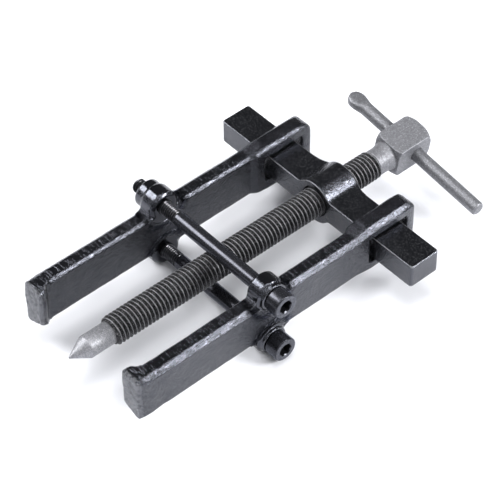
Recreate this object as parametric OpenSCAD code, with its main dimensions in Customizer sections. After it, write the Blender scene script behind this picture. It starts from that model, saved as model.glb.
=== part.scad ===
// Two-jaw puller, lying flat: a crossbeam with a threaded boss, two hooked jaws that slide on it,
// a pointed forcing screw with a loose handle bar, and two cap screws that draw the jaws together.
// Sizes are in millimetres. The screw runs along Y with its point at -Y, and the crossbeam along X.

/* [Crossbeam] */
// Length of the crossbeam, end to end
beam_len = 107; // [96:1:140]
// Depth of the crossbeam, measured along the forcing screw
beam_depth = 14; // [12:0.5:17]
// Height of the crossbeam
beam_h = 10.7; // [9:0.1:12]
// Rounding of the upright edges at the crossbeam's ends
beam_end_r = 1; // [0.5:0.1:2]
// Outer diameter of the threaded boss
boss_d = 19; // [18:0.5:22]
// How far the boss stands proud of the crossbeam's back face
boss_proud = 1.6; // [0.5:0.1:3]
// Radius of the sweep from the back face out to the boss
boss_sweep_r = 14; // [6:1:20]
// How much narrower the boss's rear face is than the boss, on each side
boss_face_in = 1; // [0.5:0.1:2]
// Fillet between the boss and the flat faces of the crossbeam
boss_fillet_r = 2.5; // [1:0.5:3]
// Countersink at each mouth of the threaded hole
boss_lead_in = 0.8; // [0.3:0.1:1.2]

/* [Jaws] */
// Length of a jaw from the front of its toe to its back face
jaw_len = 136; // [120:1:160]
// Distance from the forcing screw's axis to a jaw's outer face
jaw_reach = 33.7; // [31:0.1:36]
// Thickness of a jaw's arm
arm_t = 7.4; // [6:0.1:9]
// Height of a jaw's arm
arm_h = 20.5; // [18:0.5:22]
// Bevel on the arm's outer long edges
outer_bevel = 2; // [1:0.1:2.5]
// Bevel on the arm's inner long edges
inner_bevel = 1.2; // [0.6:0.1:1.8]
// How much thicker the window frame is than the arm, on the inner side
frame_step = 1.3; // [0.6:0.1:2]
// Height of the window frame
frame_h = 22.8; // [22.4:0.1:25]
// Length of the ramp from the arm in to the window frame's inner face
frame_ramp = 2.6; // [1.5:0.1:4]
// Length over which the jaw's upper and lower edges rise from the arm to the window frame
frame_rise = 7.2; // [5:0.1:8.5]
// Wall in front of the window
front_wall = 4; // [3:0.1:6]
// Wall behind the window
rear_wall = 5.5; // [4:0.1:8]
// Rounding of the frame's rear corners
frame_corner_r = 6; // [3:0.1:7]
// Rounding of the window's corners
window_r = 1.4; // [0.5:0.1:2]

/* [Toes] */
// How far a toe turns in past the arm's inner face
toe_in = 3.1; // [2:0.1:5]
// Thickness of the toe at its tip
toe_tip_t = 2.8; // [2:0.1:4]
// Thickness of the toe where it leaves the arm
toe_root_t = 5.6; // [4.5:0.1:7]
// Bevel down the toe's outer front edge
toe_front_bevel = 1.6; // [0.8:0.1:2]
// Bevel round the toe's other front edges and down its tip
toe_bevel = 0.8; // [0.3:0.1:1.2]
// Cut across the toe's upper and lower inner corners
toe_corner = 1.2; // [0.6:0.1:2]
// How much higher the toe's lower edge is at its tip than where it leaves the outer bevel
toe_under_rise = 3.6; // [2:0.1:5]
// Distance along the jaw over which that rise runs out
toe_under_run = 12; // [8:0.5:20]

/* [Ears] */
// Distance from the toe's front to the middle of the ears
ear_from_toe = 62; // [50:1:75]
// Height of the ears' holes above and below the forcing screw's axis
clamp_z = 11.7; // [11.3:0.1:13]
// Radius of the ears round their holes
ear_r = 6.6; // [6:0.1:7]
// Fillet from an ear into the edge of the arm
ear_fillet_r = 3; // [1.5:0.5:4]
// Chamfer round an ear's outer rim
ear_chamfer = 0.8; // [0.4:0.1:1.2]
// Radius of the seat that stands out under a screw head
seat_r = 5.8; // [5.4:0.1:6.2]
// Chamfer round a seat's rim
seat_chamfer = 0.4; // [0.2:0.1:0.8]
// How far the right jaw's seats stand out from the arm
right_seat_proud = 1.5; // [0.5:0.1:3]
// How far the left jaw's threaded seats stand out from the arm
left_seat_proud = 4; // [2:0.1:5]

/* [Forcing screw] */
// Distance from the crossbeam's middle to the screw's point
screw_reach = 126; // [110:1:140]
// Outside diameter of the forcing screw's thread
screw_d = 11.9; // [11.5:0.1:12]
// Diameter of the plain pilot behind the point
pilot_d = 9; // [8:0.1:10]
// Length of the plain pilot
pilot_len = 10.8; // [6:0.1:14]
// Included angle of the point
point_angle = 60; // [50:1:75]
// Length of the thread
thread_len = 131.3; // [125:0.1:145]
// Pitch of the thread
screw_pitch = 1.75; // [1.25:0.05:2]
// Depth of the thread
thread_depth = 1.07; // [0.5:0.01:1.2]
// Chamfer at each end of the thread
thread_chamfer = 1; // [0.5:0.1:1.4]
// Diameter of the neck behind the thread
neck_d = 10.8; // [10:0.1:11.4]
// Length of the neck, as far as the head
neck_len = 7.7; // [6:0.1:12]
// Length of the flare where the neck meets the head
neck_flare = 3.6; // [1.5:0.1:5]
// Length of the collar between that flare and the head
collar_len = 0.9; // [0.5:0.1:2]
// Width across the flats of the square head
head_af = 13.5; // [12.5:0.1:15]
// Length of the square head
head_len = 18; // [17:0.5:22]
// Length of the turned chamfer on the head's front corners
head_front_cut = 1.2; // [0.5:0.1:2]
// Width of that chamfer
head_front_cut_w = 1.9; // [1:0.1:3]
// Length of the turned rounding on the head's rear corners
head_rear_cut = 3.2; // [2:0.1:4.5]
// Width of that rounding
head_rear_cut_w = 4.5; // [2.5:0.1:6]

/* [Handle bar] */
// Diameter of the handle bar
bar_d = 5.8; // [5:0.1:6.5]
// Length of the handle bar
bar_len = 73.3; // [65:0.1:100]
// How far the handle bar sits off centre, towards its plain end
bar_shift = 5; // [0:0.5:8]
// Turn of the head and the handle bar about the screw's axis, in degrees
bar_turn = 8.5; // [0:0.5:12]
// Distance from the head's front to the handle bar's hole
bar_from_front = 10.2; // [9:0.1:11]
// Width of the bar's hammered end
spade_w = 7.6; // [6.8:0.1:9]
// Thickness of the bar's hammered end
spade_t = 4; // [3.4:0.1:4.8]
// Length of the bar's hammered end
spade_len = 8.5; // [7:0.1:10]
// How much thinner the bar's round part becomes where it runs into the hammered end
spade_shoulder = 1; // [0.5:0.1:1.6]
// Chamfer on the bar's plain end
bar_chamfer = 0.7; // [0.4:0.1:1.2]

/* [Clamp screws] */
// Diameter of a clamp screw's plain shank
clamp_d = 6; // [5.8:0.1:6.2]
// Outside diameter of a clamp screw's thread
clamp_thread_d = 5.9; // [5.6:0.1:6]
// Length of a clamp screw under its head
clamp_len = 78; // [76:1:84]
// Length of the thread on a clamp screw
clamp_thread_len = 24; // [20:1:30]
// Diameter of a clamp screw's head
cap_d = 10; // [9.4:0.1:10.6]
// Height of a clamp screw's head
cap_h = 6; // [5:0.1:7]
// Rounding of the head's outer rim
cap_rim = 0.6; // [0.3:0.1:1]
// Width across the flats of the hexagon socket
socket_af = 5; // [4:0.5:5.5]
// Depth of the hexagon socket
socket_depth = 3; // [2:0.1:3.6]
// Chamfer at a clamp screw's end
clamp_chamfer = 0.8; // [0.4:0.1:1.2]

/* [Clearances] */
// Radial clearance of each screw and bar in its hole
running_gap = 0.08; // [0.03:0.01:0.1]
// Gap between the crossbeam's front face and the window's front wall
window_gap_front = 2.4; // [1:0.1:4]
// Gap between the crossbeam's back face and the window's rear wall
window_gap_rear = 3; // [1:0.1:4]
// Gap above and below the crossbeam in the window
window_gap_z = 0.95; // [0.5:0.05:1.5]
// Gap under a clamp screw's head
cap_gap = 0.05; // [0.02:0.01:0.1]

/* [Hidden] */
$fn = 64;

paint = "#1c1d20";
phosphate = "#6d7074";
black_oxide = "#101113";

// Spare length by which a cutting shape runs past the face that it cuts
past = 1;
// How far a fillet's circle bites into what it blends with, so that they cross cleanly
blend_bite = 0.02;

// Width of a thread's flat crest, as a share of its pitch
crest_share = 1 / 8;

// Places along Y, from the crossbeam's middle
boss_front_y = -beam_depth / 2;
boss_rear_y = beam_depth / 2 + boss_proud;
window_front_y = -beam_depth / 2 - window_gap_front;
window_rear_y = beam_depth / 2 + window_gap_rear;
frame_front_y = window_front_y - front_wall;
jaw_rear_y = window_rear_y + rear_wall;
toe_y = jaw_rear_y - jaw_len;
ear_y = toe_y + ear_from_toe;

point_y = -screw_reach;
pilot_y = point_y + pilot_d / 2 / tan(point_angle / 2);
thread_y = pilot_y + pilot_len;
neck_y = thread_y + thread_len;
head_y = neck_y + neck_len;
head_end_y = head_y + head_len;
bar_y = head_y + bar_from_front;

// Places along X, from the forcing screw's axis, on the right-hand side
arm_in_x = jaw_reach - arm_t;
frame_in_x = arm_in_x - frame_step;
toe_tip_x = arm_in_x - toe_in;
seat_x = jaw_reach + right_seat_proud;

// Radii of the holes
boss_bore_r = screw_d / 2 + running_gap;
bar_hole_r = bar_d / 2 + running_gap;
ear_hole_r = clamp_d / 2 + running_gap;
ear_thread_r = clamp_thread_d / 2 + running_gap;

// The frame of the part: the middle of its length and width, at the lowest point of the ears
origin = [0, (point_y + head_end_y) / 2, -clamp_z - ear_r];

// Turns a drawing of Y and Z into a plate that is w thick along X, starting at x
module along_x(x, w) {
    translate([x, 0, 0]) rotate([90, 0, 90]) linear_extrude(w) children();
}

// Turns a drawing of X and Z into a bar that runs along Y from y0 to y1
module along_y(y0, y1) {
    translate([0, y1, 0]) rotate([90, 0, 0]) linear_extrude(y1 - y0) children();
}

// Turns a drawing of X and Y into a block that is h high, centred on Z
module along_z(h) {
    translate([0, 0, -h / 2]) linear_extrude(h) children();
}

// A turned shape on the Y axis: its drawing gives the radius, and then the place along Y
module turned() {
    rotate([-90, 0, 0]) rotate_extrude() children();
}

// A rectangle with round corners
module soft_rect(x0, x1, y0, y1, r) {
    translate([x0 + r, y0]) square([x1 - x0 - 2 * r, y1 - y0]);
    translate([x0, y0 + r]) square([x1 - x0, y1 - y0 - 2 * r]);
    for (x = [x0 + r, x1 - r], y = [y0 + r, y1 - r])
        translate([x, y]) circle(r);
}

// A disc at height c that runs into a flat edge at height e with a fillet on each side
module disc_on_edge(r, c, e, f) {
    span = r + f - blend_bite;
    rise = e + f - blend_bite - c;
    reach = sqrt(span * span - rise * rise);
    translate([0, c]) circle(r);
    difference() {
        translate([-reach, 0]) square([2 * reach, c + rise * r / span]);
        for (side = [-1, 1])
            translate([side * reach, c + rise]) circle(f);
    }
}

// The same disc on the upper and on the lower edge
module disc_on_both_edges(r, c, e, f) {
    disc_on_edge(r, c, e, f);
    mirror([0, 1]) disc_on_edge(r, c, e, f);
}

// Plan of the boss, with the sweep from the crossbeam's back face out to the boss's rear face
module boss_plan() {
    face = boss_d / 2 - boss_face_in;
    drop = boss_sweep_r - boss_proud;
    sweep = face + sqrt(boss_sweep_r * boss_sweep_r - drop * drop);
    difference() {
        translate([-sweep, boss_front_y]) square([2 * sweep, boss_rear_y - boss_front_y]);
        for (side = [-1, 1])
            translate([side * sweep, beam_depth / 2 + boss_sweep_r]) circle(boss_sweep_r);
    }
}

// Crossbeam and threaded boss, forged in one piece
module yoke_body() {
    difference() {
        union() {
            along_z(beam_h)
                soft_rect(-beam_len / 2, beam_len / 2, -beam_depth / 2, beam_depth / 2, beam_end_r);
            along_z(beam_h) boss_plan();
            intersection() {
                along_y(boss_front_y, boss_rear_y)
                    disc_on_both_edges(boss_d / 2, 0, beam_h / 2, boss_fillet_r);
                along_z(boss_d) boss_plan();
            }
        }
        turned() translate([0, boss_front_y - past])
            square([boss_bore_r, boss_rear_y - boss_front_y + 2 * past]);
        for (mouth = [[boss_front_y, 1], [boss_rear_y, -1]])
            turned() polygon([[0, mouth[0] - mouth[1] * past],
                [boss_bore_r + boss_lead_in + past, mouth[0] - mouth[1] * past],
                [boss_bore_r, mouth[0] + mouth[1] * boss_lead_in], [0, mouth[0] + mouth[1] * boss_lead_in]]);
    }
}

// Outline of a jaw between its inner face at x0 and its outer face, h high, with bevelled edges
function jaw_outline(x0, h) =
    let(x1 = jaw_reach)
    [[x0 + inner_bevel, -h / 2], [x1 - outer_bevel, -h / 2], [x1, -h / 2 + outer_bevel],
        [x1, h / 2 - outer_bevel], [x1 - outer_bevel, h / 2], [x0 + inner_bevel, h / 2],
        [x0, h / 2 - inner_bevel], [x0, -h / 2 + inner_bevel]];

// The same outline at half size, about its middle
function half_size(outline) =
    let(middle = (outline[0] + outline[4]) / 2)
    [for (p = outline) (p + middle) / 2];

// Solid through a row of outlines of X and Z, each given with its Y, corner to corner
module loft(rings) {
    n = len(rings[0][1]);
    last = len(rings) - 1;
    polyhedron(
        [for (ring = rings) for (p = ring[1]) [p[0], ring[0], p[1]]],
        concat([[for (i = [n - 1 : -1 : 0]) i]], [[for (i = [0 : n - 1]) last * n + i]],
            [for (k = [0 : last - 1]) for (i = [0 : n - 1])
                [k * n + i, k * n + (i + 1) % n, (k + 1) * n + (i + 1) % n, (k + 1) * n + i]]));
}

// Toe: a wedge that turns in from the arm, with its edges bevelled and its inner corners cut
module toe() {
    root_y = toe_y + toe_root_t + past;
    intersection() {
        along_z(arm_h)
            polygon([[jaw_reach, root_y], [jaw_reach, toe_y + toe_front_bevel],
                [jaw_reach - toe_front_bevel, toe_y], [toe_tip_x + toe_bevel, toe_y],
                [toe_tip_x, toe_y + toe_bevel], [toe_tip_x, toe_y + toe_tip_t],
                [arm_in_x, toe_y + toe_root_t], [arm_in_x, root_y]]);
        along_y(toe_y, root_y)
            polygon([[jaw_reach, -arm_h / 2 + outer_bevel], [jaw_reach, arm_h / 2 - outer_bevel],
                [jaw_reach - outer_bevel, arm_h / 2], [toe_tip_x + toe_corner, arm_h / 2],
                [toe_tip_x, arm_h / 2 - toe_corner], [toe_tip_x, -arm_h / 2 + toe_corner],
                [toe_tip_x + toe_corner, -arm_h / 2], [jaw_reach - outer_bevel, -arm_h / 2]]);
        along_x(toe_tip_x, jaw_reach - toe_tip_x)
            polygon([[toe_y, -arm_h / 2 + toe_bevel], [toe_y, arm_h / 2 - toe_bevel],
                [toe_y + toe_bevel, arm_h / 2], [root_y, arm_h / 2], [root_y, -arm_h / 2],
                [toe_y + toe_bevel, -arm_h / 2]]);
    }
}

// Block under the sloping plane that cuts the toe's lower inner corner and runs out along the arm
module toe_under_cut() {
    width = jaw_reach - outer_bevel - toe_tip_x;
    across = atan(toe_under_rise / width);
    along = atan(toe_under_rise / toe_under_run * cos(across));
    block = 3 * arm_h;
    translate([toe_tip_x, toe_y, toe_under_rise - arm_h / 2]) rotate([-along, across, 0])
        translate([-block / 2, -block / 2, -block]) cube(block);
}

// Window frame at the back of a jaw, before its window is cut: it turns in first, then reaches its height.
// The loft's two ends taper inside the arm and inside the frame, so that they share no face.
module frame() {
    start_y = frame_front_y - frame_ramp;
    top_y = start_y + frame_rise;
    front_h = arm_h + (frame_h - arm_h) * frame_ramp / frame_rise;
    arm_end = jaw_outline(arm_in_x, arm_h);
    frame_start = jaw_outline(frame_in_x, frame_h);
    loft([[start_y - past, half_size(arm_end)], [start_y, arm_end],
        [frame_front_y, jaw_outline(frame_in_x, front_h)],
        [top_y, frame_start], [top_y + past, half_size(frame_start)]]);
    intersection() {
        along_y(top_y, jaw_rear_y) polygon(jaw_outline(frame_in_x, frame_h));
        along_x(frame_in_x, jaw_reach - frame_in_x)
            soft_rect(top_y - frame_corner_r, jaw_rear_y, -frame_h / 2, frame_h / 2, frame_corner_r);
        along_z(frame_h)
            polygon([[frame_in_x, top_y], [frame_in_x, jaw_rear_y - inner_bevel],
                [frame_in_x + inner_bevel, jaw_rear_y], [jaw_reach - outer_bevel, jaw_rear_y],
                [jaw_reach, jaw_rear_y - outer_bevel], [jaw_reach, top_y]]);
    }
}

// Opening through the frame for the crossbeam, with its gaps all round
module window_cut() {
    along_x(frame_in_x - past, jaw_reach - frame_in_x + 2 * past)
        soft_rect(window_front_y, window_rear_y, -beam_h / 2 - window_gap_z,
            beam_h / 2 + window_gap_z, window_r);
}

// A round ear and its seat at height z, as one turned shape on an axis along X
module ear_barrel(z, proud) {
    translate([0, ear_y, z]) rotate([0, 90, 0]) rotate_extrude()
        polygon([[0, arm_in_x], [ear_r - inner_bevel, arm_in_x], [ear_r, arm_in_x + inner_bevel],
            [ear_r, jaw_reach - ear_chamfer], [ear_r - ear_chamfer, jaw_reach], [seat_r, jaw_reach],
            [seat_r, jaw_reach + proud - seat_chamfer], [seat_r - seat_chamfer, jaw_reach + proud],
            [0, jaw_reach + proud]]);
}

// A right-hand jaw whose seats stand out by proud and whose ear holes have radius hole_r
module jaw_body(proud, hole_r) {
    difference() {
        union() {
            along_y(toe_y + toe_root_t, frame_front_y - frame_ramp)
                polygon(jaw_outline(arm_in_x, arm_h));
            toe();
            frame();
            along_x(arm_in_x + inner_bevel, arm_t - inner_bevel - ear_chamfer)
                translate([ear_y, 0]) disc_on_both_edges(ear_r, clamp_z, arm_h / 2, ear_fillet_r);
            for (side = [-1, 1])
                ear_barrel(side * clamp_z, proud);
        }
        toe_under_cut();
        window_cut();
        for (side = [-1, 1])
            translate([arm_in_x - past, ear_y, side * clamp_z]) rotate([0, 90, 0])
                cylinder(h = arm_t + proud + 2 * past, r = hole_r);
    }
}

// Outline of a thread's grooves, one each pitch, on a bar of radius r between y0 and y1
function grooves(r, depth, pitch, y0, y1) =
    let(half = pitch * (1 - crest_share) / 2)
    [for (i = [1 : floor((y1 - y0) / pitch)])
        let(y = y0 + (i - 1 / 2) * pitch)
        each [[r, y - half], [r - depth, y], [r, y + half]]];

// Forcing screw: point, pilot, thread, neck and square head, turned and milled from one bar.
// Its thread is a row of rings with the true pitch and depth.
module screw_body() {
    corner = head_af / sqrt(2);
    neck_step = (screw_d - neck_d) / 2;
    turned()
        polygon(concat(
            [[0, point_y], [pilot_d / 2, pilot_y], [pilot_d / 2, thread_y],
                [screw_d / 2 - thread_chamfer, thread_y], [screw_d / 2, thread_y + thread_chamfer]],
            grooves(screw_d / 2, thread_depth, screw_pitch, thread_y + thread_chamfer, neck_y - neck_step),
            [[screw_d / 2, neck_y - neck_step], [neck_d / 2, neck_y],
                [neck_d / 2, head_y - neck_flare], [screw_d / 2, head_y - collar_len],
                [screw_d / 2, head_y + past], [0, head_y + past]]));
    difference() {
        intersection() {
            rotate([0, bar_turn, 0]) along_y(head_y, head_end_y) square(head_af, center = true);
            turned()
                polygon(concat(
                    [[0, head_y], [corner - head_front_cut_w, head_y], [corner, head_y + head_front_cut]],
                    [for (a = [0 : 30 : 90])
                        [corner - head_rear_cut_w * (1 - cos(a)), head_end_y - head_rear_cut * (1 - sin(a))]],
                    [[0, head_end_y]]));
        }
        rotate([0, bar_turn, 0]) translate([-head_af, bar_y, 0]) rotate([0, 90, 0])
            cylinder(h = 2 * head_af, r = bar_hole_r);
    }
}

// Handle bar along X: a plain chamfered end on the right and a hammered, spade-shaped end on the left
module bar_body() {
    left = bar_shift - bar_len / 2;
    right = bar_shift + bar_len / 2;
    neck = left + spade_len;
    rotate([0, 90, 0]) rotate_extrude()
        polygon([[0, neck - bar_d / 2], [bar_d / 2 - spade_shoulder, neck - bar_d / 2], [bar_d / 2, neck],
            [bar_d / 2, right - bar_chamfer], [bar_d / 2 - bar_chamfer, right], [0, right]]);
    translate([0, 0, -spade_t / 2]) linear_extrude(spade_t) union() {
        translate([left + spade_w / 2, 0]) circle(spade_w / 2);
        translate([left + spade_w / 2, -bar_d / 2]) square([neck - left - spade_w / 2, bar_d]);
    }
}

// Socket head cap screw along X, its head at the right, with its seat at x = 0
module clamp_body() {
    thread_x = clamp_thread_len - clamp_len;
    difference() {
        rotate([0, 90, 0]) rotate_extrude()
            polygon([[0, -clamp_len], [clamp_thread_d / 2 - clamp_chamfer, -clamp_len],
                [clamp_thread_d / 2, -clamp_len + clamp_chamfer], [clamp_thread_d / 2, thread_x],
                [clamp_d / 2, thread_x], [clamp_d / 2, 0], [cap_d / 2, 0], [cap_d / 2, cap_h - cap_rim],
                [cap_d / 2 - cap_rim, cap_h], [0, cap_h]]);
        translate([cap_h - socket_depth, 0, 0]) rotate([0, 90, 0])
            cylinder(h = socket_depth + past, d = socket_af / cos(30), $fn = 6);
    }
}

module yoke() {
    color(paint) translate(-origin) yoke_body();
}

module right_jaw() {
    color(paint) translate(-origin) jaw_body(right_seat_proud, ear_hole_r);
}

module left_jaw() {
    color(paint) translate(-origin) mirror([1, 0, 0]) jaw_body(left_seat_proud, ear_thread_r);
}

module forcing_screw() {
    color(phosphate) translate(-origin) screw_body();
}

module handle_bar() {
    color(phosphate) translate(-origin) translate([0, bar_y, 0]) rotate([0, bar_turn, 0]) bar_body();
}

module upper_clamp_screw() {
    color(black_oxide) translate(-origin) translate([seat_x + cap_gap, ear_y, clamp_z]) clamp_body();
}

module lower_clamp_screw() {
    color(black_oxide) translate(-origin) translate([seat_x + cap_gap, ear_y, -clamp_z]) clamp_body();
}

yoke();
right_jaw();
left_jaw();
forcing_screw();
handle_bar();
upper_clamp_screw();
lower_clamp_screw();
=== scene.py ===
# %% [markdown]
# # A small two-jaw puller
# The tool is made of seven pieces: a crossbeam with a threaded boss, two hooked jaws, a forcing screw,
# its handle bar and two socket head cap screws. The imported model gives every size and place, and this
# lesson gives each piece the skin and the finish that the real one has.

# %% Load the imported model
import math

import bmesh
import bpy
import numpy as np
from mathutils import Matrix, Vector


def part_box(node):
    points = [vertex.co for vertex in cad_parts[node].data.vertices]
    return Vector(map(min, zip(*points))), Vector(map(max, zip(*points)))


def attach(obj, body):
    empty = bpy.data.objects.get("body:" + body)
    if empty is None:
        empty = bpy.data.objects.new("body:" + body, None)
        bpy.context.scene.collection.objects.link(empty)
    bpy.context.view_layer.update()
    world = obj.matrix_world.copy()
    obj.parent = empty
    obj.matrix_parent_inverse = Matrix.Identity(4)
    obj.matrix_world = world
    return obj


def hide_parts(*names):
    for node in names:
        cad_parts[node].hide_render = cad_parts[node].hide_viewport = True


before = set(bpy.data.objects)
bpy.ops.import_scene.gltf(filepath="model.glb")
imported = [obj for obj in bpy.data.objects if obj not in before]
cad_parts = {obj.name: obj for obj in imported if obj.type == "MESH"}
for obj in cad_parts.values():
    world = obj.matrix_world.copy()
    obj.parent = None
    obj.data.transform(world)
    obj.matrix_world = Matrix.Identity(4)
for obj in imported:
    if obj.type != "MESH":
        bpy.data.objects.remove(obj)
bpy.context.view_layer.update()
MM = 0.001

yoke_lo, yoke_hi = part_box("yoke")
screw_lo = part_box("forcing_screw")[0]
beam_depth = 14 * MM
axis_z = (yoke_lo.z + yoke_hi.z) / 2
beam_centre = Vector((0, yoke_lo.y + beam_depth / 2, axis_z))
print(f"crossbeam's middle at {beam_centre.y / MM:.2f}, {axis_z / MM:.2f} mm")

# %% [markdown]
# ## The camera
# The photograph was taken with a long lens from above the right-hand jaw. Its azimuth and elevation were
# found by fitting the tool's corners, so the camera is placed from the crossbeam's middle along three
# directions: to the right of the picture, up it, and back towards the photographer.

# %% Camera
camera_azimuth = math.radians(48.93)
camera_elevation = math.radians(46.30)
camera_roll = math.radians(-0.45)
camera_distance = 823.8 * MM
camera_lens = 154.15
aim_right = -29.6 * MM
aim_up = -21.83 * MM


def camera_directions():
    """Right, up and back of the photograph's view."""
    a, e = camera_azimuth, camera_elevation
    level_right = Vector((math.cos(a), math.sin(a), 0))
    back = Vector((math.sin(a) * math.cos(e), -math.cos(a) * math.cos(e), math.sin(e)))
    level_up = back.cross(level_right)
    c, s = math.cos(camera_roll), math.sin(camera_roll)
    return level_right * c + level_up * s, level_up * c - level_right * s, back


def add_camera():
    right, up, back = camera_directions()
    place = beam_centre + right * aim_right + up * aim_up + back * camera_distance
    data = bpy.data.cameras.new("camera")
    data.lens = camera_lens
    data.sensor_width = 36
    data.clip_start, data.clip_end = 0.01, 10
    camera = bpy.data.objects.new("camera", data)
    turn = Matrix((right, up, back)).transposed().to_4x4()
    camera.matrix_world = Matrix.Translation(place) @ turn
    bpy.context.scene.collection.objects.link(camera)
    bpy.context.scene.camera = camera
    return camera


camera = add_camera()
print("camera at", [round(v / MM) for v in camera.matrix_world.translation], "mm")

# %% [markdown]
# ## Helpers for node trees
# Geometry trees and shader trees are built from the same calls: one makes an empty tree with named
# sockets, and one adds a node with its settings and its links. The others do a step of arithmetic, carry a
# value from one range to another, and read smooth noise.

# %% Node tree helpers
def new_tree(name, kind, inputs, outputs):
    """An empty node group with named sockets, with its input and its output sockets."""
    tree = bpy.data.node_groups.new(name, kind)
    for label, socket_type, value in inputs:
        socket = tree.interface.new_socket(label, in_out="INPUT", socket_type=socket_type)
        if value is not None:
            socket.default_value = value
    for label, socket_type in outputs:
        tree.interface.new_socket(label, in_out="OUTPUT", socket_type=socket_type)
    return tree, tree.nodes.new("NodeGroupInput").outputs, tree.nodes.new("NodeGroupOutput").inputs


def put(tree, kind, inputs=None, **settings):
    """Adds a node, sets its properties, and gives each input a value or a link."""
    node = tree.nodes.new(kind)
    for name, value in settings.items():
        setattr(node, name, value)
    for name, value in (inputs or {}).items():
        if isinstance(value, bpy.types.NodeSocket):
            tree.links.new(value, node.inputs[name])
        else:
            node.inputs[name].default_value = value
    return node


def calc(tree, operation, *values):
    """One step of arithmetic on numbers or sockets."""
    return put(tree, "ShaderNodeMath", dict(enumerate(values)), operation=operation).outputs[0]


def ramp(tree, value, low, high, out_low=0.0, out_high=1.0):
    """Carries a value smoothly from one range to another, and holds it at both ends."""
    inputs = {"Value": value, "From Min": low, "From Max": high, "To Min": out_low, "To Max": out_high}
    return put(tree, "ShaderNodeMapRange", inputs, interpolation_type="SMOOTHSTEP").outputs[0]


def noise(tree, place, scale, detail):
    """Smooth random values that change over the surface."""
    inputs = {"Vector": place, "Scale": scale, "Detail": detail}
    return put(tree, "ShaderNodeTexNoise", inputs).outputs[0]


# %% [markdown]
# ## Helpers for meshes
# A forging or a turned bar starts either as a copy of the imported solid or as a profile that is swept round
# an axis. These helpers turn modifiers into plain meshes, so that nothing is live when a piece is handed
# over.

# %% Mesh helpers
def link_object(name, mesh):
    obj = bpy.data.objects.new(name, mesh)
    bpy.context.scene.collection.objects.link(obj)
    return obj


def baked(obj, name):
    """The plain mesh of an object with its modifiers, and the object is thrown away."""
    graph = bpy.context.evaluated_depsgraph_get()
    mesh = bpy.data.meshes.new_from_object(obj.evaluated_get(graph))
    mesh.name = name
    bpy.data.objects.remove(obj)
    return mesh


def run_nodes(name, tree, values, start=None):
    """The plain mesh that a Geometry Nodes tree makes, from a starting mesh if it needs one."""
    obj = link_object(name, start or bpy.data.meshes.new(name))
    modifier = obj.modifiers.new(name, "NODES")
    modifier.node_group = tree
    for item in tree.interface.items_tree:
        if item.in_out == "INPUT" and item.name in values:
            modifier[item.identifier] = values[item.name]
    return baked(obj, name)


def solid_copy(node, keep_above=None):
    """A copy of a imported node's mesh with its corners joined, cut off below a place along Y if asked."""
    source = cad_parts[node].data
    bm = bmesh.new()
    bm.from_mesh(source)
    bmesh.ops.remove_doubles(bm, verts=bm.verts, dist=0.001 * MM)
    if keep_above is not None:
        everything = bm.verts[:] + bm.edges[:] + bm.faces[:]
        cut = bmesh.ops.bisect_plane(bm, geom=everything, plane_co=(0, keep_above, 0),
                                     plane_no=(0, 1, 0), clear_inner=True)
        rim = [e for e in cut["geom_cut"] if isinstance(e, bmesh.types.BMEdge)]
        bmesh.ops.holes_fill(bm, edges=rim)
        bmesh.ops.recalc_face_normals(bm, faces=bm.faces)
    mesh = bpy.data.meshes.new(node)
    bm.to_mesh(mesh)
    bm.free()
    return mesh


def even_skin(mesh, voxel, rounds):
    """The same solid as an even net of small squares, with its edges slightly rounded by smoothing."""
    obj = link_object(mesh.name, mesh)
    net = obj.modifiers.new("net", "REMESH")
    net.mode = "VOXEL"
    net.voxel_size = voxel
    net.use_smooth_shade = True
    smooth = obj.modifiers.new("smooth", "SMOOTH")
    smooth.factor = 0.5
    smooth.iterations = rounds
    return baked(obj, mesh.name)


def soften(points, reach, steps=4):
    """A profile with each inner corner swept round, beginning this far from the corner."""
    points = [Vector(p) for p in points]
    out = [points[0]]
    for before, corner, after in zip(points, points[1:], points[2:]):
        a = corner + (before - corner).normalized() * min(reach, (before - corner).length * 0.45)
        b = corner + (after - corner).normalized() * min(reach, (after - corner).length * 0.45)
        for i in range(steps + 1):
            t = i / steps
            out.append(a.lerp(corner, t).lerp(corner.lerp(b, t), t))
    return out + [points[-1]]


def turned_mesh(name, profile, turn_axis, segments):
    """Sweeps a profile of (place along the axis, radius) round an axis, closed at both ends."""
    along, across = turn_axis
    third = along.cross(across)
    bm = bmesh.new()
    rings = []
    for place, radius in profile:
        if radius < 1e-7:
            rings.append([bm.verts.new(along * place)] * segments)
            continue
        angles = [2 * math.pi * i / segments for i in range(segments)]
        rings.append([bm.verts.new(along * place + (across * math.cos(a) + third * math.sin(a)) * radius)
                      for a in angles])
    for lower, upper in zip(rings, rings[1:]):
        for i in range(segments):
            j = (i + 1) % segments
            corners = list(dict.fromkeys([lower[i], lower[j], upper[j], upper[i]]))
            bm.faces.new(corners).smooth = True
    bmesh.ops.recalc_face_normals(bm, faces=bm.faces)
    mesh = bpy.data.meshes.new(name)
    bm.to_mesh(mesh)
    bm.free()
    return mesh


def set_edge(mesh, values):
    """Stores the edge value of every point."""
    mesh.attributes.new("edge", "FLOAT", "POINT").data.foreach_set("value", values)


def join_meshes(name, meshes, material):
    """Several closed meshes as one, with one material and with their edge values kept."""
    bm = bmesh.new()
    edge = []
    for mesh in meshes:
        values = np.zeros(len(mesh.vertices))
        if "edge" in mesh.attributes:
            mesh.attributes["edge"].data.foreach_get("value", values)
        edge.append(values)
        bm.from_mesh(mesh)
    for face in bm.faces:
        face.material_index = 0
        face.smooth = True
    joined = bpy.data.meshes.new(name)
    bm.to_mesh(joined)
    bm.free()
    for attribute in [a for a in joined.attributes if a.name == "edge"]:
        joined.attributes.remove(attribute)
    set_edge(joined, np.concatenate(edge))
    joined.materials.clear()
    joined.materials.append(material)
    return joined


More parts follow.
